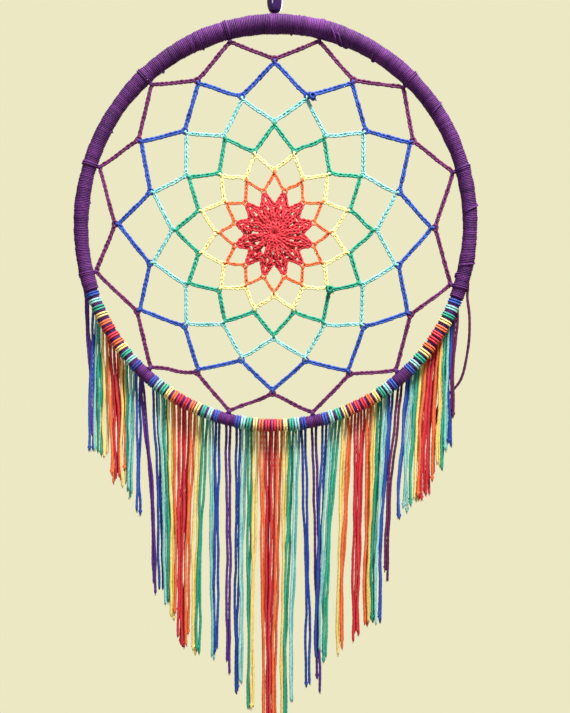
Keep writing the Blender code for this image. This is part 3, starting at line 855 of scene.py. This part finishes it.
def make_tie(number):
    """Turns of yarn round the ring, and the loops that hold the web's corner to them."""
    angle = full_angle(TIE_ANGLES[number])
    covered, half = tie_cover(angle)
    lower = covered == LOWER_WRAP_RADIUS
    corner = tied_corner(number)
    ring = ring_point(angle)
    inward = unit(corner - ring)
    side = unit(np.cross(inward, FRONT))
    outer = TIE_TURNS_RADIUS if lower else covered + 0.0006
    reach = half + 0.15 if lower else 0.55
    # The tie's turns get a little painted shade, its backing full painted shade, and its loops a little
    # painted highlight.
    tubes = [wound(angle - reach, angle + reach, TIE_PITCH, even(outer), TIE_YARN, 20, 6, 0.7, -0.1)]
    if lower:
        tubes.append(shaded_backing(angle - reach, angle + reach, even(outer - TIE_YARN * 1.3)))
    foot = covered + 0.0002
    tip = np.linalg.norm(corner - ring) + 0.0011
    middle = ring + inward * (foot + tip) / 2
    loops = (-1.1, -0.4, 0.4, 1.1) if lower else (-0.7, 0.0, 0.7)
    for n, place in enumerate(loops):
        shift = side * place * 0.00075
        half_length = (tip - foot) / 2 * (1.0 - 0.12 * abs(place))
        tubes.append(link(middle + shift, inward, half_length, 0.0014, TIE_YARN, -place * 0.0004, 0.1))
    node = f"web_tie_{number + 1:02d}"
    return make_piece(f"{node}_yarn", tubes, "purple", "ring", [node])


# The rosette's foundation rounds: radius, how far forward, and points round it.
ROSETTE_ROUNDS = ((0.0016, -0.0006, 24), (0.0088, -0.0009, 48), (0.0150, -0.0006, 72))


def make_rosette():
    """The red middle: rounds of tall stitches from a small ring out to twelve points."""
    last = len(WEB_HALF_WIDTHS) - 1
    centre = np.array((0.0, 0.0, web_centre(last)))
    tubes = []

    def spot(radius, degrees, forward=0.0):
        a = math.radians(degrees)
        return centre + np.array((radius * math.cos(a), -forward, radius * math.sin(a)))

    def post(spots, half, yarn):
        tubes.append(chain(smooth(spots, 6), 0.0025, half, 0.0006, yarn, False))

    for index in range(12):
        degrees = 30 * index + 8 + RNG.normal(0, 2.0)
        bow = RNG.normal(0, 3.0)
        spots = [spot(0.0006, degrees, 0.0010), spot(0.0045, degrees + bow, 0.0020)]
        post(spots + [spot(0.0090, degrees + 6, 0.0012)], 0.00105, 0.00082)
    for index in range(WEB_SECTORS * 2):
        degrees = 15 * index + 3 + RNG.normal(0, 1.8)
        bow = RNG.normal(0, 2.5)
        low = 0.0004 if index % 2 else 0.0012
        start = 0.0075 if index % 2 else 0.0062
        spots = [spot(start, degrees - 3, low), spot(0.0112, degrees + bow, low + 0.0008)]
        post(spots + [spot(0.0158, degrees + 2, low)], 0.00098, 0.00078)
    for radius, forward, steps in ROSETTE_ROUNDS:
        path = [spot(radius * (1 + 0.04 * RNG.normal()), 360 * n / steps, forward) for n in range(steps)]
        # The foundation rounds under the posts are darkened with painted shade.
        tubes.append(chain(rounded(np.array(path), True), 0.0026, 0.00080, 0.0006, 0.00070, True, -0.6))
    points = []
    for index in range(WEB_SECTORS):
        tip = web_joint(last, index, -0.0009)
        following = web_joint(last, index + 1, -0.0009)
        valley = unit((tip + following) / 2 - centre) * ROSETTE_VALLEY_RADIUS + centre
        outward = unit(tip - centre)
        across = unit(np.cross(outward, FRONT))
        points += [tip + across * 0.0008, tip - across * 0.0008]
        if np.dot(across, following - tip) > 0:
            points[-2], points[-1] = points[-1], points[-2]
        points += [tip * 0.45 + valley * 0.55, valley, following * 0.45 + valley * 0.55]
        base = centre + outward * 0.0142
        for lean in (-1, 1):
            start = base + across * lean * 0.0026
            stop = centre + outward * (0.0208 + RNG.normal(0, 0.0005)) + across * lean * 0.0009
            post([start, (start + stop) / 2 + FRONT * 0.0010, stop], 0.00086, 0.00070)
    tubes.append(chain(rounded(np.array(points), True, 2), 0.0027, 0.00082, 0.0007, 0.00070, True))
    return make_piece("red_rosette_stitches", tubes, "red", "ring", ["red_rosette"])


# The fringe.
def slot_angle(section, slot):
    return section[1] + (section[2] - section[1]) * (slot + 0.5) / TASSELS_PER_SECTION


def knot_path(angle, half_spacing):
    """A lark's head knot: up the front and over on each side, with its bar across the back."""
    inner = LOWER_TURNS_RADIUS - 0.00010
    turn = np.linspace(-78, 236, 26)
    reach = np.full_like(turn, inner)
    slide = np.full_like(turn, -half_spacing)
    bar_turn = np.array((250.0, 262.0, 270.0, 262.0, 250.0))
    bar_reach = inner + KNOT_YARN * np.array((0.6, 1.7, 1.9, 1.7, 0.6))
    bar_slide = half_spacing * np.array((-1.0, -0.6, 0.0, 0.6, 1.0))
    turn = np.concatenate([turn, bar_turn, turn[::-1]])
    reach = np.concatenate([reach, bar_reach, reach[::-1]])
    slide = np.concatenate([slide, bar_slide, -slide[::-1]])
    place, normal, along = (v[0] for v in ring_frames(angle))
    phi = np.radians(turn)
    points = (
        place
        + normal * (reach * np.cos(phi))[:, None]
        + FRONT * (reach * np.sin(phi))[:, None]
        + along * slide[:, None]
    )
    return points, along


def make_knots(section):
    """The section's knots, colour by colour."""
    by_colour = {}
    for slot in range(TASSELS_PER_SECTION):
        angle = slot_angle(section, slot) + RNG.normal(0, 0.07)
        points, along = knot_path(angle, KNOT_HALF_SPACING + RNG.normal(0, 0.00004))
        lean = RNG.normal(0, 0.00010)
        points = points + along * (lean * np.sin(np.linspace(0, 9, len(points))))[:, None]
        # The knots are lightened with painted highlight, a random amount each.
        painted_light = 0.45 + RNG.normal(0, 0.25)
        knot = tube(smooth(points, 2), KNOT_YARN, 8, False, along, depth=0.07, painted_light=painted_light)
        by_colour.setdefault(TASSEL_COLOURS[slot], []).append(knot)
    for colour, knots in by_colour.items():
        node = f"tassel_knots_{section[0]}"
        make_piece(f"knots_{section[0]}_{colour}", knots, colour, "ring", [node])


def strand_path(place, shift, tip, layer, wave, fan=0.0):
    """A strand that leaves its knot behind the ring and hangs to its tip, a little kinked."""
    depth = STRAND_PLANE + layer
    start = np.array((place[0] + shift, STRAND_START, place[2] + 0.0004))
    length = start[2] - tip[1]
    fall = np.concatenate([[0.0, 0.0016, 0.0040], np.linspace(0.0075, length, 22)])
    t = fall / length
    settle = np.minimum(1.0, fall / SETTLED_AFTER)
    gather = np.sin(math.pi / 2 * np.minimum(1.0, t / GATHERED_BY)) ** 1.3
    free = np.sin(math.pi * t) * 0.7 + 0.3
    x = start[0] + fan * settle * (1 - gather) + (tip[0] - start[0]) * gather
    x = x + wave * np.sin(2 * math.pi * (t * 1.6 + RNG.uniform(0, 1))) * t * free
    x = x + wobble(fall, 0.045, 0.00030) * settle
    y = start[1] + (depth - start[1]) * settle + wobble(fall, 0.06, 0.0002) * settle
    z = start[2] - fall
    return np.stack([x, y, z], axis=1)


def end_knot(path, at, yarn):
    """A small overhand knot near a strand's end."""
    t = full_circle(36)
    # The knot is darkened a little with painted shade.
    return tube(path[at] + trefoil(t) * yarn * 0.36, yarn * 0.62, 6, True, FRONT, painted_light=-0.1)


def frayed(path, yarn):
    """The few fibres that spread from a cut end."""
    tip, before = path[-1], path[-2]
    ahead = unit(tip - before)
    fibres = []
    for _ in range(END_FIBRES):
        lean = np.array((RNG.normal(0, 0.22), RNG.normal(0, 0.22), 0.0))
        reach = RNG.uniform(0.0006, 0.0017)
        start = tip - ahead * 0.0006 + lean * yarn * 1.5
        end = tip + unit(ahead + lean) * reach
        middle = (start + end) / 2 + lean * 0.0004
        fibres.append(tube(smooth([start, middle, end], 3), FIBRE_RADIUS, 4, depth=0.0, across=(1, 0, 0)))
    return fibres


def strand_tubes(route, yarn, painted_light, knotted):
    """The yarn along a route, with its cut or knotted end."""
    path = evenly(smooth(route, 8), 0.0009)
    radii = yarn * (1 + 0.05 * wobble(lengths_along(path), 0.02))
    radii[-1] *= 0.8
    # Painted shade and painted highlight that change along the strand.
    painted_lights = painted_light + wobble(lengths_along(path), 0.05, 0.25)
    tubes = [tube(path, radii, STRAND_SIDES, depth=0.07, pitch=0.0072, painted_light=painted_lights)]
    if knotted:
        tubes.append(end_knot(path, -3, yarn))
    tubes += frayed(path, yarn)
    return path, tubes


def plan_strand(name, section, colour, route, node):
    """One strand, not yet a piece, so that the longest can be chosen from all of them."""
    knotted = RNG.uniform() < KNOTTED_SHARE
    # Each strand gets a random painted shade or painted highlight.
    painted_light = RNG.normal(0.0, 0.35)
    path, tubes = strand_tubes(route, STRAND_YARN, painted_light, knotted)
    return {
        "name": name,
        "section": section,
        "colour": colour,
        "path": path,
        "tubes": tubes,
        "node": node,
        "knotted": knotted,
        "length": lengths_along(path)[-1],
    }


def plan_section(section):
    """The section's strands, each drawn from its knot to its place in a gathering."""
    name = section[0]
    spacing = GATHERED_SPACING.get(name, DRAWN_TOGETHER)
    strands = []
    first = 0
    for tassels, across, above in GATHERINGS[name]:
        count = 2 * tassels
        for n in range(count):
            slot = first + n // 2
            place, _, along = (v[0] for v in ring_frames(slot_angle(section, slot)))
            sign = 1 if n % 2 else -1
            shift = sign * 0.0011 * abs(along[0])
            spot = (n - (count - 1) / 2) * spacing + RNG.normal(0, 0.0004)
            height = RING_CENTRE + above + RNG.normal(0, 0.0028)
            fan = sign * 0.0006 * (1 - abs(along[0]))
            layer = LAYERS[n % len(LAYERS)]
            route = strand_path(place, shift, (across + spot, height), layer, 0.0008, fan)
            label = f"strand_{name}_{slot + 1:02d}_{'ab'[n % 2]}"
            node = f"strands_{name}_{COMB_NAMES[slot // TASSELS_PER_COMB]}"
            strands.append(plan_strand(label, name, TASSEL_COLOURS[slot], route, node))
        first += tassels
    return strands


def plan_purple_pair(number, section, angle, shift, drift, length, colour):
    """The two purple strands under a tie."""
    place, _, along = (v[0] for v in ring_frames(angle))
    strands = []
    for half, sign in (("a", -1), ("b", 1)):
        gap = sign * 0.0013 * max(0.6, abs(along[0]))
        reach = length * (1.03 if sign > 0 else 0.98)
        tip = (place[0] + shift + drift + gap * 0.7, place[2] - reach)
        route = strand_path(place, shift + gap, tip, -0.0003 * sign, 0.0006)
        name = f"strand_purple_{number}_{half}"
        strands.append(plan_strand(name, section, colour, route, f"strands_purple_{number}"))
    return strands


def plan_fringe():
    strands = []
    for section in FRINGE:
        strands += plan_section(section)
    for number, facts in enumerate(PURPLE_STRANDS, 1):
        strands += plan_purple_pair(number, *facts)
    return strands


def make_fringe():
    """The longest strands are pieces of their own, and the others go by section and colour."""
    strands = plan_fringe()
    ranked = sorted(strands, key=lambda s: -s["length"])
    own = {s["name"] for s in ranked[: MAX_DECLARED - 2]}
    groups = {}
    for strand in strands:
        body = f"fringe_{strand['section']}"
        if strand["name"] in own:
            piece = make_piece(strand["name"], strand["tubes"], strand["colour"], body, [strand["node"]])
        else:
            groups.setdefault((strand["section"], strand["colour"]), []).append(strand)
    for (section, colour), group in groups.items():
        tubes = [t for s in group for t in s["tubes"]]
        nodes = sorted({s["node"] for s in group})
        make_piece(f"strands_{section}_{colour}", tubes, colour, f"fringe_{section}", nodes)


def make_loose_strand():
    """The strand that leaves the ring's outer edge and tucks in behind the fringe."""
    route = [(x, y, RING_CENTRE + z) for x, y, z in LOOSE_START + LOOSE_ROUTE]
    # The bowed strand is darkened a little with painted shade.
    path, tubes = strand_tubes(route, STRAND_YARN, -0.3, False)
    piece = make_piece("strand_purple_bowed", tubes, "plum", "fringe_far_right", ["strand_purple_loose"])


# The hanger.
def loop_route():
    top = LOOP_CORD_RADIUS + GAP
    shoulder = top - LOOP_HALF_WIDTH
    foot = -LOOP_HEIGHT + GAP
    turn = np.linspace(0, math.pi, 9)
    arc = [(LOOP_HALF_WIDTH * math.cos(a), shoulder + LOOP_HALF_WIDTH * math.sin(a)) for a in turn]
    right, left = [], []
    for t in np.linspace(0, 1, 8)[1:]:
        half = LOOP_CORD_RADIUS + 0.0002
        x = half + (LOOP_HALF_WIDTH - half) * (1 + math.cos(math.pi * t)) / 2
        z = shoulder + (foot - shoulder) * t
        right.insert(0, (x, z))
        left.append((-x, z))
    return np.array([(x, 0.0, z) for x, z in right + arc + left])


def make_loop():
    path = evenly(smooth(loop_route(), 8), 0.0008)
    # The loop cord is lightened a little with painted highlight.
    tubes = [tube(path, LOOP_CORD_RADIUS, 10, depth=0.14, pitch=0.0048, painted_light=0.1)]
    piece = make_piece("hanging_loop_cord", tubes, "purple", "hanger", ["hanging_loop"])


def make_loop_knot():
    """The overhand knot that closes the loop, drawn tight."""
    centre = np.array((0.0, 0.0, -LOOP_HEIGHT - KNOT_HEIGHT / 2))
    t = full_circle(96)
    shape = trefoil(t)[:, (0, 2, 1)] * np.array((1.0, 1.0, 1.9))
    tubes = [tube(centre + shape * 0.00083, 0.00092, 10, True, (0, 0, 1), depth=0.12, pitch=0.0048)]
    for x in (-0.0009, 0.0009):
        points = [(x, 0, -LOOP_HEIGHT + GAP), (x * 0.7, 0, centre[2] + 0.001), (x, 0, centre[2] - 0.0032)]
        tubes.append(tube(smooth(points, 5), 0.0009, 8, depth=0.12, pitch=0.0048))
    return make_piece("loop_overhand_knot", tubes, "purple", "hanger", ["loop_knot"])


def make_bead():
    """An oval bead, turned, with its bore's edges rounded over."""
    height = BEAD_HIGH[2] - BEAD_LOW[2]
    radius = (BEAD_HIGH[0] - BEAD_LOW[0]) / 2
    centre = (BEAD_HIGH[2] + BEAD_LOW[2]) / 2
    end = height / 2 - BEAD_EDGE

    def edge(degrees, level):
        turn = np.radians(degrees)
        return list(zip(BEAD_BORE + BEAD_EDGE * (1 + np.cos(turn)), level + BEAD_EDGE * np.sin(turn)))

    turn = np.radians(np.linspace(90, -90, 33))
    profile = list(zip(BEAD_FLAT + (radius - BEAD_FLAT) * np.cos(turn), height / 2 * np.sin(turn)))
    profile += edge((-100, -140, -180), -end)
    profile += [(BEAD_BORE, BEAD_EDGE - end), (BEAD_BORE, end - BEAD_EDGE)]
    profile += edge((180, 140, 100), end)
    profile = np.array(profile)
    sides = 64
    theta = 2 * math.pi * np.arange(sides) / sides
    x = profile[:, :1] * np.cos(theta)
    y = profile[:, :1] * np.sin(theta)
    z = np.repeat(profile[:, 1:] + centre, sides, axis=1)
    vertices = np.stack([x, y, z], axis=-1).reshape(-1, 3)
    index = np.arange(len(vertices)).reshape(len(profile), sides)
    following = np.roll(index, -1, axis=0)
    beside, diagonal = np.roll(index, -1, axis=1), np.roll(following, -1, axis=1)
    quads = np.stack([index, following, diagonal, beside], axis=-1)
    shell = (vertices, quads.reshape(-1, 4), vertices * 0, np.zeros(len(vertices)))
    return make_piece("bead_turned", [shell], "bead", "bead", ["bead"])


def make_hitch():
    """The hanging cord's hitch round the ring, and its two ends up through the bead."""
    radius = float(wrap_radius(90.0)) + 0.00035
    tubes = [wound(88.9, 91.1, 0.0011, even(radius), 0.00056, 24, 8, 0.5)]
    for x in (-0.00075, 0.00075):
        points = [(x * 1.6, 0.0008, RING_TOP + radius - 0.0012), (x, 0, RING_TOP + radius + 0.0006)]
        points += [(x, 0, z) for z in np.linspace(RING_TOP + radius + 0.003, -LOOP_HEIGHT - KNOT_HEIGHT, 6)]
        tubes.append(tube(smooth(points, 4), 0.00070, 8, depth=0.12))
    return make_piece("ring_hitch_cord", tubes, "purple", "hitch", ["ring_hitch"])


def show_core():
    """The steel ring inside the wraps is shown as built."""
    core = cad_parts["ring_core"]
    core.data.materials.clear()
    core.data.materials.append(MATERIALS["steel"])


make_loop()
make_loop_knot()
make_bead()
make_hitch()
make_upper_wrap()
make_lower_wrap()
for number in range(WEB_SECTORS):
    make_tie(number)
for ring in range(len(WEB_ROUNDS)):
    make_web_round(ring)
make_tie_off("blue_tie_off", 2, 0, BLUE_TIE_OFF_ASIDE, "blue")
make_tie_off("green_tie_off", 4, 4, GREEN_TIE_OFF_ASIDE, "green")
make_rosette()
for section in FRINGE:
    make_knots(section)
make_fringe()
make_loose_strand()
show_core()


# The stage: a pale floor well below, pale surroundings and soft light from above.
FLOOR_RADIUS = 0.40
FLOOR_DROP = 0.52


def make_floor():
    mesh = bpy.data.meshes.new("floor")
    height = RING_CENTRE - FLOOR_DROP
    turn = full_circle(96)
    rim = [(FLOOR_RADIUS * math.cos(a), FLOOR_RADIUS * math.sin(a), height) for a in turn]
    mesh.from_pydata(rim, [], [tuple(range(len(rim)))])
    floor = new_object("floor", mesh)
    material, _, shader = new_material("floor_paint")
    set_inputs(shader, {"Base Color": linear(172, 168, 146), "Roughness": 0.8})
    mesh.materials.append(material)


def make_world():
    """Pale surroundings, whose light on the object is weaker than their own brightness."""
    world = bpy.data.worlds.new("pale_room")
    world.use_nodes = True
    tree = world.node_tree
    seen = tree.nodes["Background"]
    set_inputs(seen, {"Color": linear(236, 232, 196), "Strength": 1.0})
    lighting = tree.nodes.new("ShaderNodeBackground")
    set_inputs(lighting, {"Color": linear(240, 234, 214), "Strength": 0.30})
    path = tree.nodes.new("ShaderNodeLightPath")
    choose = tree.nodes.new("ShaderNodeMixShader")
    tree.links.new(path.outputs["Is Camera Ray"], choose.inputs["Fac"])
    tree.links.new(lighting.outputs["Background"], choose.inputs[1])
    tree.links.new(seen.outputs["Background"], choose.inputs[2])
    tree.links.new(choose.outputs["Shader"], tree.nodes["World Output"].inputs["Surface"])
    bpy.context.scene.world = world
    bpy.context.scene.view_settings.view_transform = "Standard"


def make_light(name, place, target, size, power, colour=(1.0, 1.0, 1.0)):
    light = bpy.data.lights.new(name, "AREA")
    light.shape = "SQUARE"
    light.size = size
    light.energy = power
    light.color = colour
    lamp = new_object(name, light)
    lamp.location = place
    aim = Vector(target) - Vector(place)
    lamp.rotation_euler = aim.to_track_quat("-Z", "Y").to_euler()


CAMERA_PLACE = (0.0197, -0.4748, RING_CENTRE - 0.0758)
CAMERA_PITCH = -0.848
CAMERA_YAW = 1.530
CAMERA_ROLL = 0.131
CAMERA_FOCAL = 750.0 / 713.0
SENSOR_HEIGHT = 24.0


def make_camera():
    data = bpy.data.cameras.new("camera")
    data.sensor_fit = "VERTICAL"
    data.sensor_height = SENSOR_HEIGHT
    data.lens = SENSOR_HEIGHT * CAMERA_FOCAL
    data.clip_start = 0.01
    camera = new_object("camera", data)
    camera.location = CAMERA_PLACE
    tilt = Euler((math.radians(90 + CAMERA_PITCH), 0, math.radians(CAMERA_YAW)), "XYZ").to_matrix()
    roll = Euler((0, 0, math.radians(CAMERA_ROLL)), "XYZ").to_matrix()
    camera.rotation_euler = (tilt @ roll).to_euler("XYZ")
    bpy.context.scene.camera = camera


make_floor()
make_world()
make_light("key", (0.34, -0.48, 0.60), (0.0, 0.0, -0.28), 0.22, 25.0, (1.0, 0.97, 0.90))
make_light("top", (0.05, -0.06, 0.80), (0.0, 0.0, -0.2), 0.4, 12.0)
make_light("fill", (-0.55, -0.95, 0.16), (0.0, 0.0, -0.20), 0.35, 3.0)
make_light("rim", (0.2, 0.9, 0.4), (0.0, 0.0, -0.25), 0.6, 8.0)
make_camera()
